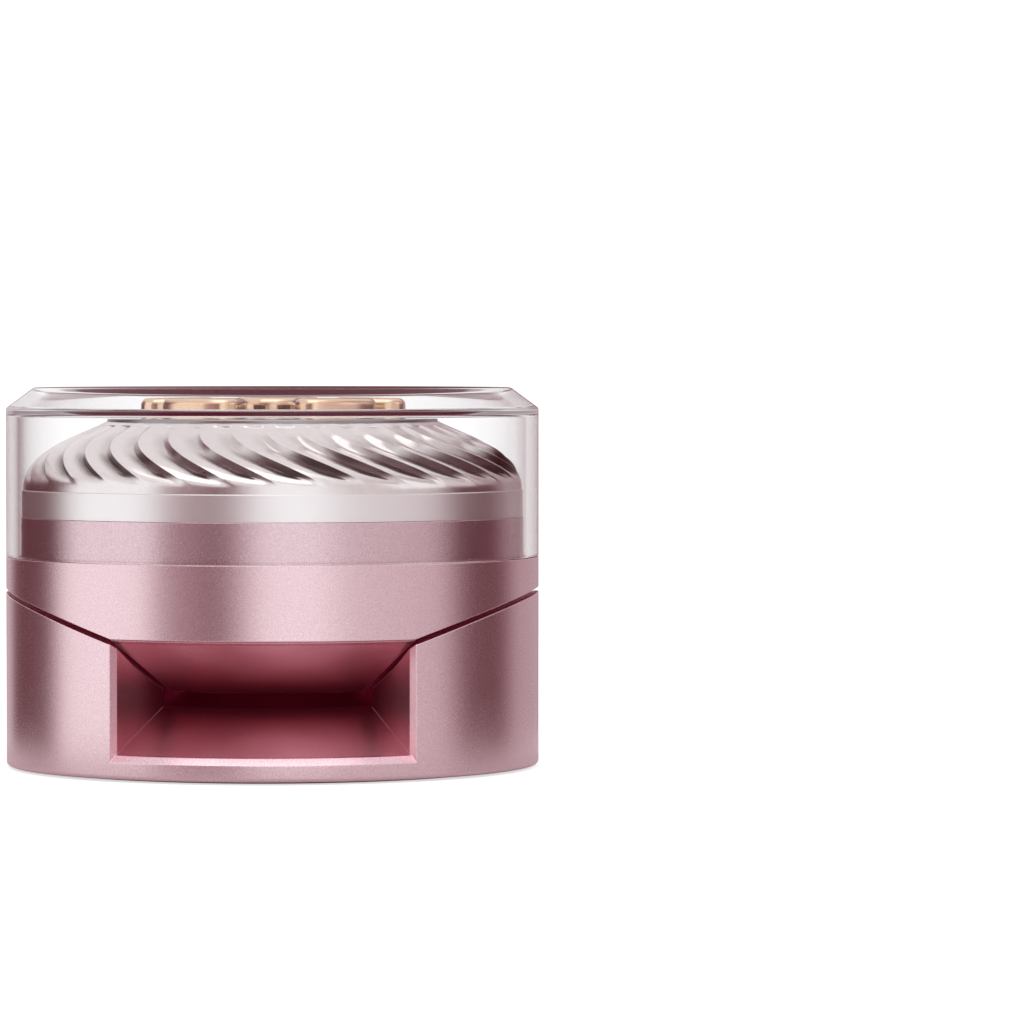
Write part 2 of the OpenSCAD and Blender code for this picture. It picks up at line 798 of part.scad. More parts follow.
module battery() color("#8f9298")
    slab(battery_size[0], battery_size[1], tray_z + tray_t, tray_z + tray_t + battery_size[2]);

// Tray that holds the magnets down and carries the battery
module battery_tray() color(NODE_PLASTIC) difference() {
    slab(battery_size[0] + tray_rim, battery_size[1] + tray_rim, tray_z, tray_z + tray_t + tray_lip);
    slab(battery_size[0], battery_size[1], tray_z + tray_t, far);
}

// Flat vibration motor on the main board
module vibration_motor() color(NODE_STEEL) translate(motor_at)
    post(motor_r, main_board_z, main_board_z + motor_h);

// Buzzer with its sound hole
module buzzer() color(NODE_DARK) translate(buzzer_at) difference() {
    post(buzzer_r, main_board_z, main_board_z + buzzer_h);
    post(buzzer_hole_r, main_board_z + buzzer_h - 1, far);
}

// Body of the push switch on the main board's rear edge
module switch_body() color(NODE_DARK) difference() {
    translate([-3, switch_y, main_board_z]) cube([6, switch_depth, switch_h]);
    rod_y(plunger_r + 0.05, switch_y + switch_depth - plunger_in - button_travel - 0.2, far, button_z);
}

// Moving plunger of the push switch
module switch_plunger() color(NODE_PLASTIC)
    rod_y(plunger_r, switch_y + switch_depth - plunger_in, button_stem_y, button_z);

// Power button: a round key with a flange behind the wall and a stem on the switch
module power_button() color(NODE_PINK) intersection() {
    union() {
        rod_y(button_r, flange_y, far, button_z);
        rod_y(flange_r, flange_y - flange_t, flange_y, button_z);
        rod_y(button_stem_r, button_stem_y, flange_y, button_z);
    }
    post(button_face_r, 0, far);
}

// Small lens beside the button that shows the charge
module status_light() color(NODE_PLASTIC) intersection() {
    translate([light_x, 0, 0]) rod_y(light_r - 0.02, cover_in_r - 2, far, button_z);
    post(body_r - 0.05, 0, far);
}

module charge_contacts() color(NODE_GOLD)
    for (s = [-1, 1]) translate([s * pin_pitch / 2, 0, 0]) post(contact_r, keel_z, floor_z);

module head_magnets() color(NODE_STEEL)
    for (sy = [-1, 1]) translate([0, sy * magnet_y, 0]) post(magnet_r, floor_z, floor_z + magnet_t);

module cover_screws() color(NODE_STEEL)
    corners(cover_screw_x, cover_screw_y) screw(keel_z + screw_sink, cover_screw_len);

// ---------------------------------------------------------------- cap

// Clear cap that slips over the collar and rests on the ledge
module clear_cap() color("#dfe6ea", 0.35) {
    in_r = body_r - cap_wall;
    shoulder_z = cap_z - cap_slope_h;
    rotate_extrude() polygon([
        [in_r, ledge_z], [body_r - 0.3, ledge_z], [body_r, ledge_z + 0.3], [body_r, shoulder_z],
        [body_r - cap_slope_w, cap_z], [0, cap_z], [0, cap_z - cap_top],
        [body_r - cap_slope_w - 0.6, cap_z - cap_top], [in_r, shoulder_z - 0.4]
    ]);
}

stand_shell();
bottom_plate();
foot_ring();
ballast_weight();
charge_board();
usb_socket();
pin_block();
pin_barrels();
charge_pin_left();
charge_pin_right();
pin_spring_left();
pin_spring_right();
seat_pads();
dock_magnets();
base_screws();
head_shell();
keel_cover();
rim_band();
swirl_ring();
bezel_ring();
reflector();
electrode_center();
electrode_1();
electrode_2();
electrode_3();
electrode_4();
electrode_5();
electrode_seals();
led_board();
leds();
inner_frame();
main_board();
ribbon_cable();
battery();
battery_tray();
vibration_motor();
buzzer();
switch_body();
status_light();
charge_contacts();
head_magnets();
cover_screws();
power_button();
switch_plunger();
clear_cap();
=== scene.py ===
import json
import math

import bmesh
import bpy
from mathutils import Matrix, Vector


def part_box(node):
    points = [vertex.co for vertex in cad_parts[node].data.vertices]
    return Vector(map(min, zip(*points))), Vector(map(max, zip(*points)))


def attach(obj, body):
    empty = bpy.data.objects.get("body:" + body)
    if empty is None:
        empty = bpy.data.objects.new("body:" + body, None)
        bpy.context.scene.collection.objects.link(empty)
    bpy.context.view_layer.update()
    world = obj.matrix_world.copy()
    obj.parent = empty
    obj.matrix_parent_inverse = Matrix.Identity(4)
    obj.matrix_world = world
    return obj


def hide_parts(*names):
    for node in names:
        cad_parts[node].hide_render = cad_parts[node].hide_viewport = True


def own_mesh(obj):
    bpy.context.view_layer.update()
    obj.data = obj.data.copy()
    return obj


# Facial toning device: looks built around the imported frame, in metres and the frame's own axes.

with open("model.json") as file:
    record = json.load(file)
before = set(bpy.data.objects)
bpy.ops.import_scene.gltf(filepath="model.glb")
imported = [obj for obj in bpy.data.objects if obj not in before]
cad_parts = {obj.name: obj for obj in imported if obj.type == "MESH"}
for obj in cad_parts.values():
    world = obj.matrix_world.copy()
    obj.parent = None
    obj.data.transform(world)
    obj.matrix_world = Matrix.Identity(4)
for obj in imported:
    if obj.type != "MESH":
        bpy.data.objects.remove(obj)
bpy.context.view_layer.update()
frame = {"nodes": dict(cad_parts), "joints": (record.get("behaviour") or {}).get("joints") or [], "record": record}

MM = 0.001
TURN = math.tau


# ---------------------------------------------------------------- sizes read from the frame

def low(node, axis="z"):
    return getattr(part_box(node)[0], axis)


def high(node, axis="z"):
    return getattr(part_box(node)[1], axis)


FIT_GAP = 0.1 * MM
BODY_R = high("stand_shell", "x")
LEDGE_Z = low("clear_cap")
CAP_Z = high("clear_cap")
COLLAR_R = high("rim_band", "x") + FIT_GAP
COLLAR_Z = low("rim_band")
BAND_Z = low("swirl_ring")
DOME_Z = high("swirl_ring")
BEZEL_R = high("bezel_ring", "x") + FIT_GAP
BEZEL_Z = high("bezel_ring")
FACE_R = high("reflector", "x") + FIT_GAP
REFLECTOR_BACK = low("reflector")
LIP_RISE = 0.45 * MM
FACE_Z = high("reflector") - LIP_RISE
PAD_Z = high("electrode_center")
PAD_FOOT = low("electrode_seals")
SEAL_TOP = high("electrode_seals")
CENTRE_R = high("electrode_center", "x")


# ---------------------------------------------------------------- shader helper

class Value:
    """A shader socket that takes part in Python arithmetic; each operation adds a Math node."""

    def __init__(self, graph, socket):
        self.graph = graph
        self.socket = socket

    def maths(self, operation, *values):
        return self.graph.node("Math", {"operation": operation}, *values)

    def __add__(self, other):
        return self.maths("ADD", self, other)

    def __radd__(self, other):
        return self.maths("ADD", other, self)

    def __sub__(self, other):
        return self.maths("SUBTRACT", self, other)

    def __rsub__(self, other):
        return self.maths("SUBTRACT", other, self)

    def __mul__(self, other):
        return self.maths("MULTIPLY", self, other)

    def __rmul__(self, other):
        return self.maths("MULTIPLY", other, self)

    def __pow__(self, other):
        return self.maths("POWER", self, other)

    def __neg__(self):
        return self.maths("MULTIPLY", self, -1.0)

    def __abs__(self):
        return self.maths("ABSOLUTE", self)


class Graph:
    """One node tree, with a method that adds any node to it."""

    def __init__(self, tree):
        self.tree = tree
        tree.nodes.clear()

    def node(self, kind, settings=None, *values, out=0, **named):
        made = self.tree.nodes.new("ShaderNode" + kind)
        for key, setting in (settings or {}).items():
            if key == "stops":
                self.set_stops(made.color_ramp, setting)
            else:
                setattr(made, key, setting)
        places = list(enumerate(values))
        places += [(key.replace("_", " "), value) for key, value in named.items()]
        for place, value in places:
            self.feed(made.inputs[place], value)
        return Value(self, made.outputs[out]) if made.outputs else made

    def feed(self, target, value):
        if isinstance(value, Value):
            self.tree.links.new(value.socket, target)
        else:
            target.default_value = value

    def set_stops(self, ramp, stops):
        while len(ramp.elements) < len(stops):
            ramp.elements.new(1.0)
        for element, (position, colour) in zip(ramp.elements, stops):
            element.position = position
            element.color = (*colour, 1.0)

    def mix(self, factor, first, second):
        """A blend of two colours."""
        made = self.tree.nodes.new("ShaderNodeMix")
        made.data_type = "RGBA"
        colours = [(*c, 1.0) if isinstance(c, tuple) and len(c) == 3 else c for c in (first, second)]
        self.feed(made.inputs[0], factor)
        self.feed(made.inputs[6], colours[0])
        self.feed(made.inputs[7], colours[1])
        return Value(self, made.outputs[2])

    def place(self):
        """Where a point is, in the piece's own axes."""
        return self.node("TexCoord", out="Object")

    def part(self, vector, axis):
        return self.node("SeparateXYZ", None, vector, out=axis)

    def radius(self):
        """How far a point is from the axis."""
        x, y = (self.part(self.place(), axis) for axis in "XY")
        return (x * x + y * y) ** 0.5

    def path(self, fact):
        """What a ray is, or how often it was thrown on so far."""
        return self.node("LightPath", out=fact)

    def noise(self, grain, vector=None, detail=2.0, roughness=0.55):
        """Even noise from 0 to 1, with spots about one grain across."""
        return self.node("TexNoise", None, Vector=vector or self.place(), Scale=1 / grain,
                         Detail=detail, Roughness=roughness, out="Fac")

    def spread(self, value, start, end):
        """A smooth rise from 0 at start to 1 at end."""
        return self.node("MapRange", {"interpolation_type": "SMOOTHSTEP"}, value, start, end, 0.0, 1.0)

    def below(self, value, edge, soft):
        """1 below an edge and 0 above it, with a smooth change from edge - soft to edge + soft."""
        return 1 - self.spread(value, edge - soft, edge + soft)

    def bump(self, height, distance, strength=1.0, **named):
        return self.node("Bump", None, Height=height, Distance=distance, Strength=strength, **named)

    def soft_edges(self, radius):
        """A normal that rounds every edge by the given radius."""
        return self.node("Bevel", {"samples": 6}, Radius=radius)

    def surface(self, **inputs):
        shader = self.node("BsdfPrincipled", None, **inputs)
        self.node("OutputMaterial", None, shader)


# ---------------------------------------------------------------- materials

BLACK = (0.0, 0.0, 0.0)
# Edges of the rose metal's painted light, painted shade and painted red light.
RECESS_TOP = 24 * MM
RECESS_BACK = -14 * MM
RECESS_DEEP_R = 31.5 * MM
SLOT_TOP = 17 * MM
SLOT_R = 26 * MM


def rose_metal(g):
    """Bead-blasted, anodised aluminium. Inside the finger recess it has painted patches of uneven light and
    painted shade that deepens towards the back and is darkest in the slot there; a dim painted red light lies on
    the surfaces set back from the outer skin low down. A painted highlight runs as a bright line along every edge."""
    y, z = (g.part(g.place(), axis) for axis in "YZ")
    radius = g.radius()
    grain = g.noise(0.24 * MM, detail=3.0, roughness=0.7)
    patch = g.noise(9 * MM)
    tone = g.spread(grain, 0.28, 0.72)
    # Painted light: large soft patches that stand in for the uneven light inside the recess.
    cloud = g.spread(g.noise(15 * MM, detail=1.0), 0.3, 0.7)
    outer = g.mix(tone, (0.71, 0.50, 0.55), (0.85, 0.66, 0.705))
    # The recess colour: painted patches of uneven light, with a little of the grain.
    lit = g.mix(cloud * 0.75 + tone * 0.25, (0.74, 0.42, 0.47), (0.97, 0.72, 0.77))
    # Painted shade, deepening towards the back of the recess.
    inner = g.mix(g.below(radius, RECESS_DEEP_R, 6.5 * MM), lit, (0.42, 0.12, 0.16))
    # Where the recess's painted light and shade go, and where the slot's painted shade goes.
    under_skin = g.below(radius, BODY_R - 1.45 * MM, 0.25 * MM)
    within = under_skin * g.below(z, RECESS_TOP, 1 * MM) * g.below(y, RECESS_BACK, 2 * MM)
    slot = g.below(radius, SLOT_R, 1.5 * MM) * g.below(z, SLOT_TOP, 1 * MM)
    # Where the dim painted red light goes: surfaces set back from the outer skin, low down.
    painted_red_light_zone = g.below(radius, BODY_R - 0.35 * MM, 0.25 * MM) * g.below(z, RECESS_TOP + 7 * MM, 1 * MM)
    rounded = g.soft_edges(0.22 * MM)
    straight = g.node("NewGeometry", out="Normal")
    # Painted highlight: a bright line where the rounded normal turns away from the true one, along every edge but
    # in the slot.
    match = g.node("VectorMath", {"operation": "DOT_PRODUCT"}, rounded, straight, out="Value")
    edge = g.spread(match, 0.995, 0.9)
    # A dim painted red light that stands in for light caught in the hollows.
    painted_red_light = g.mix(painted_red_light_zone, BLACK, (0.014, 0.0004, 0.002))
    # Colour: grain outside, painted light and shade in the recess, the darkest painted shade in the slot.
    g.surface(
        Base_Color=g.mix(within, outer, g.mix(slot, inner, (0.30, 0.05, 0.08))),
        Metallic=1.0,
        Roughness=0.20 + grain * 0.08 + patch * 0.04 + within * 0.10,
        Coat_Weight=0.15,
        Coat_Roughness=0.3,
        # Emission: the painted highlight along edges, elsewhere the dim painted red light.
        Emission_Color=g.mix(edge * (1 - slot), painted_red_light, (0.15, 0.075, 0.09)),
        Emission_Strength=1.0,
        Normal=g.bump(grain, 0.008 * MM, 0.2, Normal=rounded))


def chrome_ring(g):
    """Polished metal with the slight waviness of hand polishing, and painted shade along each flute's deep side.
    """
    wave = g.noise(6 * MM, detail=1.0)
    haze = g.noise(1.2 * MM, detail=3.0)
    # The shade attribute is painted shade, set on the fluted ring's points.
    shade = g.node("Attribute", {"attribute_name": "shade"}, out="Fac")
    bright = g.mix(haze, (0.82, 0.77, 0.76), (0.90, 0.86, 0.85))
    g.surface(
        Base_Color=g.mix(shade * 0.95, bright, (0.095, 0.036, 0.040)),
        Metallic=1.0,
        Roughness=0.18 + haze * 0.06,
        Normal=g.bump(wave, 0.05 * MM, 0.3))


def turned_lines(g, pitch):
    """Fine lathe lines round the axis: noise that changes along radius and height alone."""
    across = g.node("CombineXYZ", None, g.radius(), 0.0, g.part(g.place(), "Z"))
    return g.noise(pitch, across)


def silver_band(g):
    """Turned, satin aluminium."""
    line = turned_lines(g, 0.12 * MM)
    g.surface(
        Base_Color=g.mix(line, (0.95, 0.91, 0.91), (1.0, 0.98, 0.98)),
        Metallic=1.0,
        Roughness=0.30 + line * 0.08,
        Normal=g.bump(line, 0.01 * MM, 0.25))


def satin_grey(g):
    """Darker satin aluminium with fine turned lines."""
    line = turned_lines(g, 0.1 * MM)
    g.surface(
        Base_Color=g.mix(line, (0.33, 0.30, 0.31), (0.47, 0.44, 0.45)),
        Metallic=1.0,
        Roughness=0.26 + line * 0.12,
        Normal=g.bump(line, 0.01 * MM, 0.4))


def gold_plate(g):
    """Gold plating: satin on the flat tops, polished round the rims."""
    fine = g.noise(0.15 * MM, detail=3.0)
    cloud = g.noise(4 * MM)
    top = g.spread(g.part(g.place(), "Z"), PAD_Z - 0.25 * MM, PAD_Z - 0.02 * MM)
    g.surface(
        Base_Color=g.mix(cloud, (0.84, 0.57, 0.39), (0.92, 0.67, 0.48)),
        Metallic=1.0,
        Roughness=0.12 + top * 0.12 + fine * 0.06,
        Normal=g.bump(fine * top, 0.01 * MM, 0.35))


def red_reflector(g):
    """Clear red plating over bright ribs."""
    fine = g.noise(0.4 * MM)
    cloud = g.noise(5 * MM)
    g.surface(
        Base_Color=g.mix(cloud, (0.34, 0.003, 0.008), (0.58, 0.012, 0.024)),
        Metallic=0.85,
        Roughness=0.13 + fine * 0.08,
        Coat_Weight=0.6,
        Coat_Roughness=0.08)


def dark_red_seal(g):
    """Soft dark red rubber."""
    fine = g.noise(0.3 * MM)
    g.surface(
        Base_Color=g.mix(fine, (0.05, 0.002, 0.004), (0.09, 0.004, 0.008)),
        Roughness=0.42 + fine * 0.15,
        Normal=g.bump(fine, 0.01 * MM, 0.4))


def clear_acrylic(g):
    """Polished clear acrylic. Where light is thrown on and on inside it, the acrylic turns black and gives off
    painted light
    instead: a dark rose edge over the face and along the shoulder, and a pale one over the fluted ring between
    them."""
    radius = g.radius()
    haze = g.noise(8 * MM)
    # After a few bounces inside, the acrylic turns black and gives off painted light instead.
    led = g.spread(g.path("Glossy Depth"), 2.2, 2.8)
    pale = g.spread(radius, 28.5 * MM, 29.5 * MM) * g.below(radius, 39 * MM, 1 * MM)
    # The painted light's colour: dark rose over the face and shoulder, pale over the fluted ring.
    end = g.mix(pale, (0.030, 0.003, 0.007), (0.30, 0.30, 0.305))
    g.surface(
        Base_Color=g.mix(led, (0.985, 0.985, 0.99), BLACK),
        Roughness=haze * 0.01,
        Transmission_Weight=1.0,
        IOR=1.33,
        Emission_Color=g.mix(led, BLACK, end),
        Emission_Strength=1.0)


def moulded(colour, darker, roughness, grain=0.25 * MM, depth=0.012 * MM):
    """A fine-grained moulded plastic or rubber."""
    def build(g):
        fine = g.noise(grain, detail=3.0)
        cloud = g.noise(7 * MM)
        g.surface(
            Base_Color=g.mix(cloud, darker, colour),
            Roughness=roughness + fine * 0.12,
            Normal=g.bump(fine, depth, 0.6))
    return build


def board_green(g):
    """Solder mask with copper tracks just visible under it."""
    track = g.node("TexBrick", {"offset": 0.5}, Vector=g.place(), Scale=1 / (2.2 * MM),
                   Mortar_Size=0.06, out="Fac")
    fine = g.noise(0.2 * MM)
    g.surface(
        Base_Color=g.mix(track, (0.010, 0.095, 0.045), (0.035, 0.19, 0.09)),
        Roughness=0.28 + fine * 0.12,
        Normal=g.bump(track, 0.02 * MM, 0.5))


def bare_steel(g):
    """Nickel-plated steel."""
    fine = g.noise(0.3 * MM, detail=4.0)
    cloud = g.noise(3 * MM)
    g.surface(
        Base_Color=g.mix(cloud, (0.46, 0.45, 0.44), (0.60, 0.59, 0.57)),
        Metallic=1.0,
        Roughness=0.22 + fine * 0.16,
        Normal=g.bump(fine, 0.008 * MM, 0.4))


def cell_foil(g):
    """The battery's creased foil pouch."""
    crease = g.noise(2.5 * MM, detail=4.0)
    g.surface(
        Base_Color=g.mix(crease, (0.42, 0.43, 0.45), (0.56, 0.57, 0.59)),
        Metallic=0.9,
        Roughness=0.3 + crease * 0.15,
        Normal=g.bump(crease, 0.1 * MM, 0.5))


def cable_film(g):
    """Amber film with the cable's wires as stripes in it."""
    y = g.part(g.place(), "Y")
    line = g.node("Math", {"operation": "SINE"}, y * (TURN / (0.8 * MM)))
    g.surface(
        Base_Color=g.mix(g.spread(line, 0.2, 0.5), (0.34, 0.15, 0.04), (0.52, 0.28, 0.09)),
        Roughness=0.3 + g.noise(0.5 * MM) * 0.1)


FINISHES = {
    "rose_metal": rose_metal,
    "chrome_ring": chrome_ring,
    "silver_band": silver_band,
    "satin_grey": satin_grey,
    "gold_plate": gold_plate,
    "red_reflector": red_reflector,
    "dark_red_seal": dark_red_seal,
    "clear_acrylic": clear_acrylic,
    "dark_rubber": moulded((0.055, 0.05, 0.052), (0.035, 0.032, 0.034), 0.62),
    "dark_plastic": moulded((0.06, 0.055, 0.058), (0.04, 0.037, 0.039), 0.42),
    "pale_plastic": moulded((0.80, 0.78, 0.76), (0.74, 0.72, 0.70), 0.36),
    "board_green": board_green,
    "bare_steel": bare_steel,
    "cell_foil": cell_foil,
    "cable_film": cable_film,
}


def new_material(name, build):
    made = bpy.data.materials.new(name)
    made.use_nodes = True
    build(Graph(made.node_tree))
    return made


MATERIALS = {slot: new_material(slot, build) for slot, build in FINISHES.items()}


# ---------------------------------------------------------------- piece helper

def finished(bm, name, body, slot, nodes, sharp=30):
    """Turns a bmesh into a piece that rides on a body and stands for the given nodes."""
    bmesh.ops.remove_doubles(bm, verts=bm.verts, dist=1e-7)
    bmesh.ops.recalc_face_normals(bm, faces=bm.faces)
    mesh = bpy.data.meshes.new(name)
    bm.to_mesh(mesh)
    bm.free()
    mesh.shade_smooth()
    mesh.set_sharp_from_angle(angle=math.radians(sharp))
    mesh.materials.append(MATERIALS[slot])
    piece = bpy.data.objects.new(name, mesh)
    bpy.context.scene.collection.objects.link(piece)
    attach(piece, body)
    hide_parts(*nodes)
    return piece


HOLD = 0.05 * MM


def outline_edges(bm, points, rounds):
    """A closed outline of (radius, height) points at Y = 0, with some of its corners rounded."""
    corners = [bm.verts.new((r, 0.0, z)) for r, z in points]
    bm.faces.new(corners)
    for corner, radius in zip(corners, rounds):
        if radius:
            bmesh.ops.bevel(bm, geom=[corner], offset=radius, offset_type="OFFSET", affect="VERTICES",
                            segments=5, profile=0.5, material=-1)
    bmesh.ops.delete(bm, geom=bm.faces[:], context="FACES_ONLY")
    for edge in bm.edges[:]:
        hold_flat(edge)


def hold_flat(edge):
    """Adds a point near each end of a long straight edge, so that smooth shading keeps it straight."""
    start, end = edge.verts
    length = edge.calc_length()
    if length > 10 * HOLD:
        near = bmesh.utils.edge_split(edge, start, HOLD / length)[1]
        rest = next(e for e in near.link_edges if end in e.verts)
        bmesh.utils.edge_split(rest, end, HOLD / (length - HOLD))


def spin_round(bm, steps):
    bmesh.ops.spin(bm, geom=bm.verts[:] + bm.edges[:], cent=(0, 0, 0), axis=(0, 0, 1), dvec=(0, 0, 0),
                   angle=TURN, steps=steps, use_merge=True, use_normal_flip=False, use_duplicate=False)


def turned(name, body, slot, nodes, points, rounds, steps=240):
    """A piece turned about the axis."""
    bm = bmesh.new()
    outline_edges(bm, points, rounds)
    spin_round(bm, steps)
    return finished(bm, name, body, slot, nodes)


def rise(a, b, x):
    """A smooth rise from 0 at a to 1 at b."""
    s = min(1.0, max(0.0, (x - a) / (b - a)))
    return s * s * (3 - 2 * s)


# ---------------------------------------------------------------- fluted ring

FLUTES = 36
FLUTE_DEPTH = 1.0 * MM
FLUTE_SWEEP = math.radians(27)
FLUTE_VALLEY = 0.76  # where the valley lies between two crests
FLUTE_FALL = 1.25  # how hollow the slow side is
FLUTE_RETURN = 1.5  # how hollow the steep side is
FLUTE_START = 0.18  # share of the depth at the inner end
FLUTE_EASE = 0.38  # how much faster the curve runs at the inner end
FLUTE_COLUMNS = 16
FLUTE_CROWDING = 1.6  # how much the columns crowd towards the valley's steep side
FLUTE_STEPS = FLUTES * FLUTE_COLUMNS
DOME_ROWS = 46
DOME_BACK_ROWS = 6
RING_WALL = DOME_Z - low("bezel_ring")

DOME_IN = Vector((BEZEL_R + 1.2 * MM, DOME_Z - 0.55 * MM))
DOME_OUT = Vector((COLLAR_R - 0.3 * MM, BAND_Z))
DOME_WIDTH = DOME_OUT.x - DOME_IN.x
DOME_FALL = DOME_IN.y - DOME_OUT.y
DOME_CURVE = (
    DOME_IN,
    DOME_IN + Vector((0.52 * DOME_WIDTH, -0.27 * DOME_FALL)),
    DOME_OUT + Vector((0.0, 0.53 * DOME_FALL)),
    DOME_OUT,
)
DOME_BACK = (
    Vector((BEZEL_R + FIT_GAP, DOME_Z - RING_WALL)),
    DOME_CURVE[1] - Vector((0.6 * MM, RING_WALL)),
    DOME_CURVE[2] - Vector((RING_WALL, 0.8 * MM)),
    DOME_OUT - Vector((RING_WALL, 0.0)),
)


def cubic(curve, t):
    """A point of a Bezier curve."""
    a, b, c, d = curve
    s = 1 - t
    return s ** 3 * a + 3 * t * s * s * b + 3 * t * t * s * c + t ** 3 * d


def flute_way(t):
    """Share of a flute's length at curve parameter t."""
    return t * (1 + FLUTE_EASE - FLUTE_EASE * t)


def flute_turn(share):
    """Angle of a crest: it starts straight down the dome and sweeps round ever faster."""
    return FLUTE_SWEEP * share ** 2


def flute_fade(share):
    """Depth along a flute: it deepens from its inner end and runs out in a round scoop end."""
    deep = FLUTE_START + (1 - FLUTE_START) * rise(0.05, 0.5, share)
    return deep * (1 - rise(0.80, 0.96, share))


def flute_painted_shade(u, share):
    """How much painted shade a flute's steep side gets; only its swept, deep part gets it."""
    along = 0.25 * rise(0.1, 0.3, share) + 0.75 * rise(0.46, 0.66, share)
    return rise(0.33, 0.82, u) * along * (1 - rise(0.84, 0.92, share))


def flute_scoop(u):
    """Depth across a flute: a slow fall from one crest and a steep return to the next."""
    if u < FLUTE_VALLEY:
        return (u / FLUTE_VALLEY) ** FLUTE_FALL
    return 1 - ((u - FLUTE_VALLEY) / (1 - FLUTE_VALLEY)) ** FLUTE_RETURN


def fluted_ring():
    """The dome's outline is spun round, and then each column of points is led along its flute."""
    bm = bmesh.new()
    way = bm.verts.layers.float.new("way")
    depth = bm.verts.layers.float.new("depth")
    # A layer of painted shade for the chrome's colour.
    shade = bm.verts.layers.float.new("shade")
    outer = [(cubic(DOME_CURVE, i / DOME_ROWS), i / DOME_ROWS, 1.0) for i in range(DOME_ROWS + 1)]
    inner = [(cubic(DOME_BACK, i / DOME_BACK_ROWS), i / DOME_BACK_ROWS, 0.0)
             for i in range(DOME_BACK_ROWS, -1, -1)]
    top = [(Vector((BEZEL_R, DOME_Z)), 0.0, 0.0),
           (DOME_IN + Vector((-0.1 * MM, 0.05 * MM)), 0.0, 0.0)]
    corners = []
    for spot, t, cut in top + outer + inner:
        corner = bm.verts.new((spot.x, 0.0, spot.y))
        corner[way] = t
        corner[depth] = cut
        corners.append(corner)
    for a, b in zip(corners, corners[1:] + corners[:1]):
        bm.edges.new((a, b))
    spin_round(bm, FLUTE_STEPS)
    for vert in bm.verts:
        radius, t = math.hypot(vert.co.x, vert.co.y), vert[way]
        column = round(math.atan2(vert.co.y, vert.co.x) / TURN * FLUTE_STEPS) % FLUTE_STEPS
        flute, step = divmod(column, FLUTE_COLUMNS)
        u = 1 - (1 - step / FLUTE_COLUMNS) ** FLUTE_CROWDING
        share = flute_way(t)
        spot = Vector((radius, vert.co.z))
        if vert[depth]:
            along = cubic(DOME_CURVE, t + 0.01) - cubic(DOME_CURVE, t - 0.01)
            inward = Vector((along.y, -along.x)).normalized()
            spot += FLUTE_DEPTH * flute_fade(share) * flute_scoop(u) * inward
            vert[shade] = flute_painted_shade(u, share)
        angle = (flute + u) * TURN / FLUTES + flute_turn(share)
        vert.co = (spot.x * math.cos(angle), spot.x * math.sin(angle), spot.y)
    return finished(bm, "fluted_ring", "head", "chrome_ring", ["swirl_ring"], sharp=32)


# ---------------------------------------------------------------- electrodes, seals and reflector

PADS = 5
PAD_START = math.radians(18)
PAD_ROUND = 1.15 * MM
PAD_GAP = 0.6 * MM
PAD_OUT_R = 14 * MM
PAD_IN_R = 5 * MM
PAD_CORNER_R = 2 * MM
PAD_CORNER = Vector((1.7 * MM, 4.15 * MM))
PAD_OUT_X = PAD_CORNER.x - math.sqrt((PAD_OUT_R - PAD_CORNER_R) ** 2 - PAD_CORNER.y ** 2)
PAD_OUT_TURN = math.atan2(PAD_CORNER.y, PAD_CORNER.x - PAD_OUT_X)
PAD_IN_TURN = (math.atan2(PAD_CORNER.y, PAD_CORNER.x)
               + math.acos((PAD_IN_R - PAD_CORNER_R) / PAD_CORNER.length))
PAD_PITCH_R = high("electrode_2", "y") - (PAD_OUT_X + PAD_OUT_R + PAD_ROUND)


def arc(centre, radius, start, end, count):
    """Points along an arc, without its last one."""
    return [centre + radius * Vector((math.cos(a), math.sin(a)))
            for a in (start + (end - start) * i / count for i in range(count))]


def pad_outline(grow):
    """Outline of an outer electrode with its own +X away from the axis: a broad outer arc,
    two corners and an inner arc."""
    mirrored = Vector((PAD_CORNER.x, -PAD_CORNER.y))
    return (arc(Vector((PAD_OUT_X, 0)), PAD_OUT_R + grow, -PAD_OUT_TURN, PAD_OUT_TURN, 10)
            + arc(PAD_CORNER, PAD_CORNER_R + grow, PAD_OUT_TURN, PAD_IN_TURN, 14)
            + arc(Vector((0, 0)), PAD_IN_R + grow, PAD_IN_TURN, TURN - PAD_IN_TURN, 20)
            + arc(mirrored, PAD_CORNER_R + grow, TURN - PAD_IN_TURN, TURN - PAD_OUT_TURN, 14))


def pad_place(index, spot):
    """A point of the outline at its place on the face."""
    angle = PAD_START + TURN * index / PADS
    x = PAD_PITCH_R + spot.x
    return Vector((x * math.cos(angle) - spot.y * math.sin(angle),
                   x * math.sin(angle) + spot.y * math.cos(angle)))


def extruded(bm, faces, height):
    """Pulls faces along Z and gives the new end faces back."""
    made = bmesh.ops.extrude_face_region(bm, geom=faces)
    ends = [g for g in made["geom"] if isinstance(g, bmesh.types.BMFace)]
    verts = [g for g in made["geom"] if isinstance(g, bmesh.types.BMVert)]
    bmesh.ops.translate(bm, verts=verts, vec=(0, 0, height))
    return ends


def outer_electrode(index):
    """A gold pad with a flat top and a full round all along its rim."""
    bm = bmesh.new()
    corners = [bm.verts.new((*pad_place(index, spot), PAD_FOOT)) for spot in pad_outline(PAD_ROUND)]
    base = bm.faces.new(corners)
    top = extruded(bm, [base], PAD_Z - PAD_FOOT)[0]
    bmesh.ops.bevel(bm, geom=top.edges[:], offset=PAD_ROUND, offset_type="OFFSET", affect="EDGES",
                    segments=8, profile=0.5, material=-1, clamp_overlap=True)
    flat = max(bm.faces, key=lambda face: face.calc_center_median().z)
    bmesh.ops.inset_individual(bm, faces=[flat], thickness=HOLD)
    return finished(bm, f"gold_electrode_{index + 1}", "head", "gold_plate", [f"electrode_{index + 1}"])


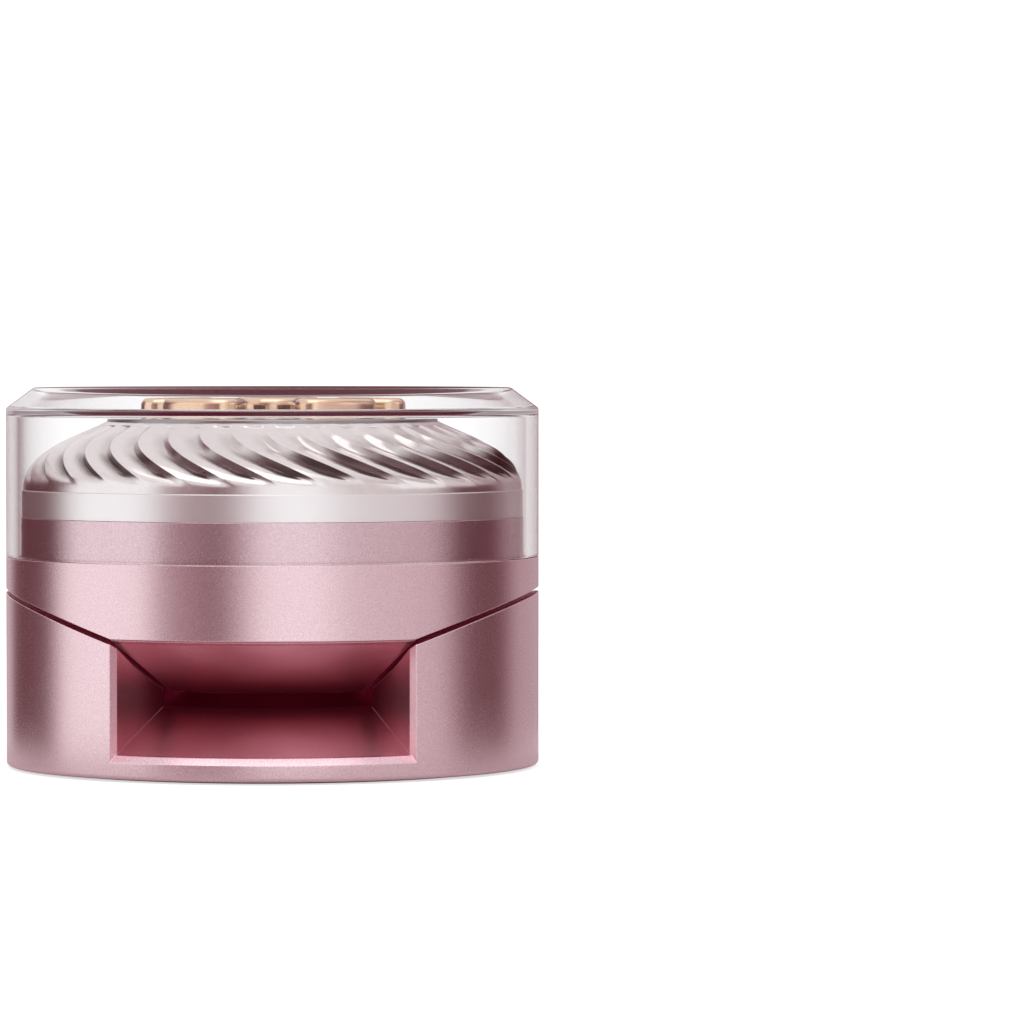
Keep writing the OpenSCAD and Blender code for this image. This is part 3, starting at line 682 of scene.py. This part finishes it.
def centre_electrode():
    return turned("gold_electrode_centre", "head", "gold_plate", ["electrode_center"],
                  [(0, PAD_FOOT), (CENTRE_R, PAD_FOOT), (CENTRE_R, PAD_Z), (0, PAD_Z)],
                  [0, 0, PAD_ROUND, 0], steps=96)


def seals():
    """Soft rings between the electrodes and the reflector."""
    bm = bmesh.new()
    width = PAD_GAP - FIT_GAP
    loops = [([pad_place(i, s) for s in pad_outline(PAD_ROUND)],
              [pad_place(i, s) for s in pad_outline(PAD_ROUND + width)]) for i in range(PADS)]
    loops.append([arc(Vector((0, 0)), radius, 0, TURN, 64) for radius in (CENTRE_R, CENTRE_R + width)])
    for inside, outside in loops:
        edges = []
        for ring in (inside, outside):
            verts = [bm.verts.new((*spot, PAD_FOOT)) for spot in ring]
            edges += [bm.edges.new((a, b)) for a, b in zip(verts, verts[1:] + verts[:1])]
        extruded(bm, bmesh.ops.bridge_loops(bm, edges=edges)["faces"], SEAL_TOP - PAD_FOOT)
    return finished(bm, "soft_seals", "head", "dark_red_seal", ["electrode_seals"])


RIBS = 108
RIB_COLUMNS = 4
RIB_ROWS = 58
RIB_HEIGHT = 0.16 * MM
DISH_IN = 8 * MM
DISH_RIM = 2 * MM
DISH_DEPTH = 1.2 * MM
DISH_FALL = 0.25 * MM
LIP_R = 6.7 * MM
LIP_HALF = 0.45 * MM
MOAT_R = CENTRE_R + PAD_GAP


def face_height(radius):
    """Height of the reflector's surface: a shallow dish that ends a little lower at the middle."""
    share = min(1.0, max(0.0, (FACE_R - radius) / (FACE_R - DISH_IN)))
    fall = rise(FACE_R - DISH_RIM, DISH_IN, radius)
    return FACE_Z - DISH_DEPTH * math.sin(math.pi * share) - DISH_FALL * fall


def under_pad(spot):
    """Whether a point of the face lies in the hole for an outer electrode."""
    step = TURN / PADS
    angle = math.atan2(spot.y, spot.x) - PAD_START
    angle -= step * round(angle / step)
    radius = math.hypot(spot.x, spot.y)
    x, y = radius * math.cos(angle) - PAD_PITCH_R, abs(radius * math.sin(angle))
    grow = PAD_ROUND + PAD_GAP / 2
    turn = math.atan2(y, x)
    if turn > PAD_IN_TURN:
        return math.hypot(x, y) < PAD_IN_R + grow
    if math.atan2(y, x - PAD_OUT_X) < PAD_OUT_TURN:
        return math.hypot(x - PAD_OUT_X, y) < PAD_OUT_R + grow
    at_corner = math.hypot(x - PAD_CORNER.x, y - PAD_CORNER.y) < PAD_CORNER_R + grow
    return at_corner or x < PAD_CORNER.x and y < PAD_CORNER.y


def ribbed_reflector():
    """A spun dish whose points are then raised and lowered into fine radial ribs."""
    bm = bmesh.new()
    edge_r = FACE_R - FIT_GAP
    points = [(MOAT_R, REFLECTOR_BACK), (MOAT_R, FACE_Z - 0.3 * MM),
              (LIP_R - LIP_HALF, FACE_Z + 0.35 * MM), (LIP_R, FACE_Z + LIP_RISE),
              (LIP_R + LIP_HALF, FACE_Z + 0.3 * MM)]
    dish = [DISH_IN + (edge_r - DISH_IN) * i / RIB_ROWS for i in range(RIB_ROWS + 1)]
    points += [(r, face_height(r)) for r in dish]
    points.append((edge_r, REFLECTOR_BACK))
    corners = [bm.verts.new((r, 0.0, z)) for r, z in points]
    for a, b in zip(corners, corners[1:]):
        bm.edges.new((a, b))
    spin_round(bm, RIBS * RIB_COLUMNS)
    for vert in bm.verts:
        radius = math.hypot(vert.co.x, vert.co.y)
        ribbed = rise(DISH_IN - 0.1 * MM, DISH_IN + 1.2 * MM, radius)
        ribbed *= 1 - rise(edge_r - 0.5 * MM, edge_r, radius)
        vert.co.z += RIB_HEIGHT * ribbed * math.cos(RIBS * math.atan2(vert.co.y, vert.co.x))
    middles = ((face, face.calc_center_median()) for face in bm.faces)
    holes = [face for face, middle in middles
             if DISH_IN < middle.xy.length < edge_r and under_pad(middle)]
    bmesh.ops.delete(bm, geom=holes, context="FACES")
    return finished(bm, "ribbed_reflector", "head", "red_reflector", ["reflector"], sharp=50)


# ---------------------------------------------------------------- turned rings and the cap

BAND_WIDTH = 3 * MM


def bright_band():
    outer = COLLAR_R - FIT_GAP
    inner = outer - BAND_WIDTH
    return turned("bright_band", "head", "silver_band", ["rim_band"],
                  [(outer, COLLAR_Z), (outer, BAND_Z), (inner, BAND_Z), (inner, COLLAR_Z)],
                  [0.12 * MM, 0.2 * MM, 0, 0])


BEZEL_TILT = 0.08 * MM
BEZEL_IN_CUT = Vector((0.3 * MM, 0.35 * MM))
BEZEL_OUT_CUT = Vector((0.45 * MM, 0.3 * MM))
BEZEL_SIDE_ROUND = 0.12 * MM
BEZEL_TOP_ROUND = 0.15 * MM


def face_bezel():
    """Its top falls a little towards the face, between a chamfer at either edge."""
    inner, outer, foot = FACE_R, BEZEL_R - FIT_GAP, low("bezel_ring")
    return turned("face_bezel", "head", "satin_grey", ["bezel_ring"],
                  [(inner, foot), (inner, BEZEL_Z - BEZEL_IN_CUT.y),
                   (inner + BEZEL_IN_CUT.x, BEZEL_Z - BEZEL_TILT), (outer - BEZEL_OUT_CUT.x, BEZEL_Z),
                   (outer, BEZEL_Z - BEZEL_OUT_CUT.y), (outer, foot)],
                  [0, BEZEL_SIDE_ROUND, BEZEL_TOP_ROUND, BEZEL_TOP_ROUND, BEZEL_SIDE_ROUND, 0])


CAP_WALL = 2.1 * MM
CAP_TOP = 1.8 * MM
CAP_SLOPE_W = 4.6 * MM
CAP_SLOPE_H = 3.4 * MM
CAP_FOOT_ROUND = 0.15 * MM
CAP_ROUND = 0.3 * MM
CAP_CEILING_ROUND = 0.4 * MM


def clear_cover():
    """Its sloping wall is as thick as its sides, which lets the eye look level through it."""
    inner, shoulder, ceiling = BODY_R - CAP_WALL, CAP_Z - CAP_SLOPE_H, CAP_Z - CAP_TOP
    slope = CAP_SLOPE_H / CAP_SLOPE_W
    upright = CAP_WALL * math.hypot(1, slope)
    inner_edge = BODY_R - (ceiling - shoulder + upright) / slope
    inner_shoulder = shoulder + CAP_WALL * slope - upright
    return turned("clear_cover", "cap", "clear_acrylic", ["clear_cap"],
                  [(inner, LEDGE_Z), (BODY_R, LEDGE_Z), (BODY_R, shoulder),
                   (BODY_R - CAP_SLOPE_W, CAP_Z), (0, CAP_Z),
                   (0, ceiling), (inner_edge, ceiling), (inner, inner_shoulder)],
                  [CAP_FOOT_ROUND, CAP_ROUND, CAP_ROUND, CAP_ROUND, 0, 0, CAP_CEILING_ROUND, CAP_ROUND],
                  steps=320)


# ---------------------------------------------------------------- coils under the charging pins

COIL_WIRE = 0.1 * MM
COIL_TURNS = 4
COIL_STEPS = 32
COIL_SIDES = 10


def pin_coil(side):
    """A wire coil under its charging pin."""
    node = f"pin_spring_{side}"
    press = next(joint for joint in frame["joints"] if joint["name"] == f"charge_pin_{side}_press")
    foot, length = low(node), high(node) - low(node)
    middle = (low(node, "x") + high(node, "x")) / 2
    coil_r = (high(node, "x") - low(node, "x")) / 2 - COIL_WIRE
    steps = COIL_TURNS * COIL_STEPS
    start = Matrix.Translation((middle + coil_r, 0, foot + COIL_WIRE))
    bm = bmesh.new()
    bmesh.ops.create_circle(bm, cap_ends=False, segments=COIL_SIDES, radius=COIL_WIRE,
                            matrix=start @ Matrix.Rotation(math.pi / 2, 4, "X"))
    bmesh.ops.spin(bm, geom=bm.verts[:] + bm.edges[:], cent=(middle, 0, 0), axis=(0, 0, 1),
                   dvec=(0, 0, (length - 2 * COIL_WIRE) / steps), angle=COIL_TURNS * TURN, steps=steps,
                   use_merge=False, use_normal_flip=False, use_duplicate=False)
    bmesh.ops.holes_fill(bm, edges=[edge for edge in bm.edges if edge.is_boundary], sides=0)
    coil = finished(bm, f"pin_coil_{side}", "stand", "bare_steel", [node])
    1 - press["range_m"][1] / length
    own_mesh(coil)


fluted_ring()
ribbed_reflector()
centre_electrode()
for pad in range(PADS):
    outer_electrode(pad)
seals()
bright_band()
face_bezel()
clear_cover()
pin_coil("left")
pin_coil("right")


# ---------------------------------------------------------------- finishes of the frame's nodes

slot_of = {part["node"]: part["material_slot"] for part in frame["record"]["subparts"]}
for node, piece in frame["nodes"].items():
    piece.data.materials.clear()
    piece.data.materials.append(MATERIALS[slot_of[node]])


# ---------------------------------------------------------------- floor, background, lights and camera

FLOOR_R = 420 * MM


def floor_white(g):
    """A matt white table top. Far from the object, the metal's reflections don't meet it."""
    fine = g.noise(3 * MM)
    far = g.spread(g.radius(), 60 * MM, 120 * MM)
    g.surface(
        Base_Color=g.mix(fine, (0.90, 0.90, 0.90), (0.94, 0.94, 0.94)),
        Alpha=1 - far * g.path("Is Glossy Ray"),
        Roughness=0.7,
        Specular_IOR_Level=0.1,
        Emission_Color=g.mix(g.path("Is Camera Ray"), BLACK, (0.65, 0.65, 0.65)),
        Emission_Strength=1.0)


def pale_floor():
    """A round white table; beyond its edge the white background carries on."""
    bm = bmesh.new()
    bmesh.ops.create_circle(bm, cap_ends=True, segments=128, radius=FLOOR_R)
    mesh = bpy.data.meshes.new("floor")
    bm.to_mesh(mesh)
    bm.free()
    mesh.materials.append(new_material("floor_white", floor_white))
    floor = bpy.data.objects.new("floor", mesh)
    bpy.context.scene.collection.objects.link(floor)


# The room's soft bright fields, each as azimuth, half width and softness in degrees, and strength.
# Azimuth 0 is in front of the object, and positive is to its right.
WALL_FIELDS = (
    (-77, 26, 8, 1.0),
    (10, 19, 12, 0.95),
    (58, 28, 10, 0.52),
    (150, 25, 10, 0.35),
    (-161, 13, 5, 0.5),
    (-43, 12, 9, 0.16),
)
HIGH_FIELD = (90, 28, 10, 0.6)
FRONT_HAZE = (0, 60, 15, 0.09)
ROOM_LEVEL = 0.035
REAR_LEVEL = 0.35
CEILING_LEVEL = 0.80
GUIDED_LEVEL = 0.82
MATT_LEVEL = 0.42
ROOM_STRENGTH = 1.15
ROOM_COLOURS = [
    (0.0, (0.09, 0.018, 0.022)),
    (0.25, (0.36, 0.24, 0.26)),
    (0.55, (0.62, 0.53, 0.545)),
    (1.0, (1.0, 1.0, 1.0)),
]


def background():
    """White behind the object. Metal sees a dim, warm room with soft bright fields along its walls, one
    of them high up, a light patch behind on the left and a light ceiling. Light that the clear cap
    guides on to the metal comes from behind alone, and matt surfaces get one even level."""
    world = bpy.data.worlds.new("studio")
    world.use_nodes = True
    bpy.context.scene.world = world
    g = Graph(world.node_tree)
    x, y, up = (g.part(g.node("TexCoord", out="Generated"), axis) for axis in "XYZ")
    turn = g.node("Math", {"operation": "ARCTAN2"}, x, -y)

    def field(centre, half, soft, strength):
        off = abs(turn - math.radians(centre))
        return g.below(off, math.radians(half), math.radians(soft)) * strength

    def once(depth):
        """1 for a path that has a bounce of a kind in it, and 0 for any other."""
        return g.node("Math", {"operation": "MINIMUM"}, g.path(depth), 1.0)

    level = g.below(abs(up - 0.05), 0.6, 0.15)
    walls = sum(field(*light) for light in WALL_FIELDS) + field(*HIGH_FIELD) * g.spread(up, 0.1, 0.25)
    rear = g.spread(y, 0.5, 0.8) * g.below(x, 0.15, 0.15) * g.spread(up, 0.05, 0.15)
    above = g.spread(up, 0.25, 0.6) * (1 - g.spread(x, 0.45, 0.8) * 0.6)
    around = ROOM_LEVEL + field(*FRONT_HAZE) + walls * level + rear * REAR_LEVEL
    room = g.node("Math", {"operation": "MAXIMUM"}, around, above * CEILING_LEVEL)

    matt = once("Diffuse Depth")
    shiny = once("Glossy Depth") * (1 - matt)
    inside = g.path("Transmission Depth")
    guided = shiny * g.spread(inside, 1.4, 1.6) * g.below(inside, 2.5, 0.1)
    behind = g.below(up, 0.4, 0.1) * g.spread(y, 0.76, 0.90)
    lit = (1 - matt) * room * (1 - guided) + guided * behind * GUIDED_LEVEL + matt * MATT_LEVEL
    straight = g.path("Is Transmission Ray") * (1 - once("Glossy Depth")) * (1 - matt)
    clear = g.path("Is Camera Ray") + straight * g.below(up, 0.275, 0.125)
    white = g.node("Math", {"operation": "ADD", "use_clamp": True}, clear, lit)
    shade = g.node("ValToRGB", {"stops": ROOM_COLOURS}, white)
    g.node("OutputWorld", None, g.node("Background", None, Color=shade, Strength=ROOM_STRENGTH))


AIM = Vector((0.0, 0.0, 35 * MM))


def softbox(name, azimuth, elevation, distance, width, height, radiance):
    """An area lamp; azimuth 0 is in front of the object, and positive is to its right."""
    lamp = bpy.data.lights.new(name, "AREA")
    lamp.shape = "RECTANGLE"
    lamp.size, lamp.size_y = width, height
    lamp.energy = radiance * math.pi * width * height
    light = bpy.data.objects.new(name, lamp)
    a, e = math.radians(azimuth), math.radians(elevation)
    way = Vector((math.sin(a) * math.cos(e), -math.cos(a) * math.cos(e), math.sin(e)))
    light.location = AIM + distance * way
    light.rotation_euler = (-way).to_track_quat("-Z", "Y").to_euler()
    light.visible_camera = False
    bpy.context.scene.collection.objects.link(light)


CAMERA_PLACE = (39.6 * MM, -904 * MM, 68 * MM)
CAMERA_DIP = math.radians(1.65)


def camera():
    """A long lens that looks a little downwards, to the right of the object."""
    data = bpy.data.cameras.new("camera")
    data.lens = 192
    data.sensor_width = 36
    seer = bpy.data.objects.new("camera", data)
    seer.location = CAMERA_PLACE
    seer.rotation_euler = (math.pi / 2 - CAMERA_DIP, 0.0, 0.0)
    bpy.context.scene.collection.objects.link(seer)
    bpy.context.scene.camera = seer


pale_floor()
background()
softbox("top_box", azimuth=-15, elevation=75, distance=1.2, width=1.0, height=1.0, radiance=0.9)
camera()

bpy.context.scene.view_settings.view_transform = "Standard"
